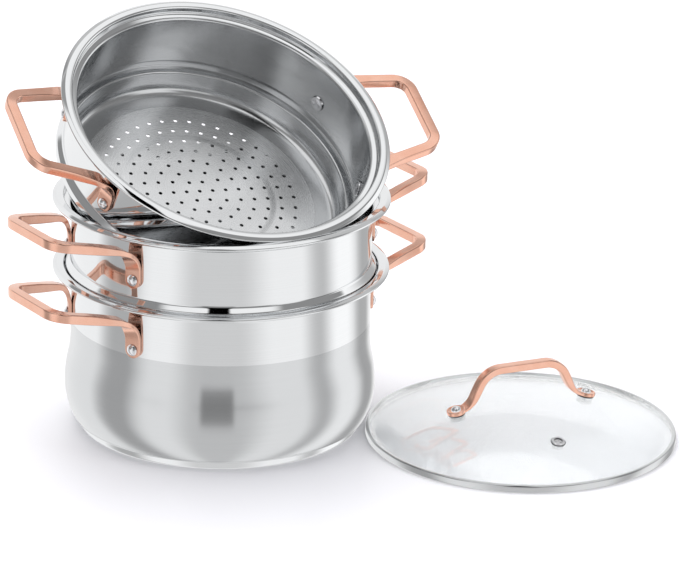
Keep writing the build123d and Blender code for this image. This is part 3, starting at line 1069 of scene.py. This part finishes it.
# Studio: pale floor, soft lamps, and the room of softboxes and flags that the steel reflects.
# The panels follow the lights and darks of the photographed steel, coarsely and in round values. Each has
# its middle in degrees round from the camera, its half width, the width of its soft edge, its lowest and
# highest direction as the Z of a unit vector, and a grey level. Later ones cover earlier ones.
ROOM_LEVEL = 0.6
ROOM_STRENGTH = 1.25
FILL_COLOR = (0.93, 0.935, 0.96, 1)
FILL_STRENGTH = 0.72
PANELS = [
    (-130, 20, 25, -1.1, 0.5, 0.85),  # left softbox
    (-80, 5, 25, -1.1, 0.5, 0.4),  # left flag
    (-45, 5, 25, -1.1, 0.1, 0.85),  # left strip
    (55, 10, 30, -1.1, 0.1, 0.85),  # right strip
    (85, 0, 20, -1.1, 0.5, 0.5),  # right flag
    (110, 5, 20, -1.1, 0.5, 0.95),  # right softbox
    (145, 5, 15, -1.1, 0.5, 0.4),  # right corner
    (180, 10, 20, -1.1, 0.5, 0.8),  # back softbox
    (0, 10, 4, -0.25, 0.1, 0.25),  # camera gap
    (0, 90, 20, 0.1, 0.5, 0.2),  # front shade
    (-30, 5, 15, 0.1, 0.5, 0.8),  # left window
    (55, 5, 15, 0.1, 0.5, 0.8),  # right window
    (0, 180, 5, 0.5, 0.8, 0.25),  # high shade
    (170, 25, 20, 0.5, 0.8, 0.5),  # high back softbox
    (0, 180, 5, 0.8, 1.1, 0.85),  # ceiling softbox
    (-140, 10, 15, 0.8, 1.1, 0.3),  # ceiling flag
    (0, 10, 4, 0.5, 1.1, 0.0),  # ceiling gap
]
PANEL_HEIGHT_EDGE = 0.04


def mixed(tree, factor, first, second):
    return add_node(tree, "ShaderNodeMix", {
        "Factor": factor,
        "A": first,
        "B": second,
    }, data_type="RGBA").outputs["Result"]


def rise_between(tree, value, low, high):
    node = add_node(tree, "ShaderNodeMapRange", {
        "Value": value,
        "From Min": low,
        "From Max": high,
    }, interpolation_type="SMOOTHSTEP")
    return node.outputs["Result"]


def panel_cover(tree, turn, height, middle, half_width, soft_edge, bottom, top):
    """One inside a panel and zero outside it, with soft edges."""
    apart = add_node(tree, "ShaderNodeMath", {0: turn, 1: radians(middle)}, operation="SUBTRACT")
    wrapped = add_node(tree, "ShaderNodeMath", {0: apart.outputs["Value"], 1: pi, 2: -pi}, operation="WRAP")
    off = add_node(tree, "ShaderNodeMath", {0: wrapped.outputs["Value"]}, operation="ABSOLUTE")
    edge = radians(half_width + soft_edge)
    across = rise_between(tree, off.outputs["Value"], edge, radians(half_width))
    above = rise_between(tree, height, bottom, bottom + PANEL_HEIGHT_EDGE)
    below = rise_between(tree, height, top + PANEL_HEIGHT_EDGE, top)
    upright = add_node(tree, "ShaderNodeMath", {0: above, 1: below}, operation="MULTIPLY")
    cover = add_node(tree, "ShaderNodeMath", {0: across, 1: upright.outputs["Value"]}, operation="MULTIPLY")
    return cover.outputs["Value"]


def studio_world():
    """Softboxes for glossy rays, white for the camera and through glass, a pale fill for the rest."""
    world = bpy.data.worlds.new("studio")
    bpy.context.scene.world = world
    world.use_nodes = True
    tree = world.node_tree
    out = tree.nodes["World Output"]
    direction = add_node(tree, "ShaderNodeTexCoord").outputs["Generated"]
    height = add_node(tree, "ShaderNodeSeparateXYZ", {"Vector": direction}).outputs["Z"]
    sideways = add_node(tree, "ShaderNodeVectorMath", {0: direction, 1: right}, operation="DOT_PRODUCT")
    toward = add_node(tree, "ShaderNodeVectorMath", {0: direction, 1: -away}, operation="DOT_PRODUCT")
    turn = add_node(tree, "ShaderNodeMath", {
        0: sideways.outputs["Value"],
        1: toward.outputs["Value"],
    }, operation="ARCTAN2").outputs["Value"]
    colors = (ROOM_LEVEL, ROOM_LEVEL, ROOM_LEVEL, 1)
    for middle, half_width, soft_edge, bottom, top, level in PANELS:
        cover = panel_cover(tree, turn, height, middle, half_width, soft_edge, bottom, top)
        colors = mixed(tree, cover, colors, (level, level, level, 1))
    room = add_node(tree, "ShaderNodeBackground", {"Color": colors, "Strength": ROOM_STRENGTH})
    fill = add_node(tree, "ShaderNodeBackground", {"Color": FILL_COLOR, "Strength": FILL_STRENGTH})
    white = add_node(tree, "ShaderNodeBackground", {"Color": (1, 1, 1, 1), "Strength": 1.0})
    path = add_node(tree, "ShaderNodeLightPath")
    shiny = add_node(tree, "ShaderNodeMixShader", {
        0: path.outputs["Is Glossy Ray"],
        1: fill.outputs["Background"],
        2: room.outputs["Background"],
    })
    seen = add_node(tree, "ShaderNodeMath", {
        0: path.outputs["Is Camera Ray"],
        1: path.outputs["Is Transmission Ray"],
    }, operation="MAXIMUM")
    both = add_node(tree, "ShaderNodeMixShader", {
        0: seen.outputs["Value"],
        1: shiny.outputs["Shader"],
        2: white.outputs["Background"],
    })
    tree.links.new(both.outputs["Shader"], out.inputs["Surface"])


def studio_floor():
    mesh = bpy.data.meshes.new("studio_floor")
    half = 6.0
    corners = [(-half, -half, 0), (half, -half, 0), (half, half, 0), (-half, half, 0)]
    mesh.from_pydata(corners, [], [(0, 1, 2, 3)])
    floor = bpy.data.objects.new("studio_floor", mesh)
    bpy.context.scene.collection.objects.link(floor)
    material, _, shader = new_material("studio_floor")
    shader.inputs["Base Color"].default_value = (0.975, 0.97, 1.0, 1)
    shader.inputs["Roughness"].default_value = 0.35
    shader.inputs["Specular IOR Level"].default_value = 0.3
    mesh.materials.append(material)
    floor.visible_glossy = False


def lamp(name, place, aim, size, power):
    data = bpy.data.lights.new(name, "AREA")
    data.shape = "RECTANGLE"
    data.size, data.size_y = size
    data.energy = power
    light = bpy.data.objects.new(name, data)
    light.location = place
    light.rotation_euler = (Vector(aim) - Vector(place)).to_track_quat("-Z", "Y").to_euler()
    light.visible_glossy = False
    bpy.context.scene.collection.objects.link(light)


def in_view(across, forward, height):
    """A point so many metres to the right in the photo's view, away from the camera and up."""
    return right * across + away * forward + UP * height


# The photo shows no mirror image of the lid in the steel
for piece in bpy.data.objects:
    if piece.name.startswith(("lid_", "steam_vent", "vent_")):
        piece.visible_glossy = False
studio_world()
studio_floor()
lamp("top_softbox", in_view(-0.3, 0.6, 1.9), in_view(0.1, 0, 0), (2.4, 2.4), 34)
lamp("left_softbox", in_view(-1.8, -0.8, 1.0), in_view(0, 0, 0.1), (1.0, 1.6), 8)
lamp("right_softbox", in_view(1.9, -0.9, 1.1), in_view(0.1, 0, 0.1), (0.8, 1.6), 8)

bpy.context.scene.view_settings.view_transform = "Standard"
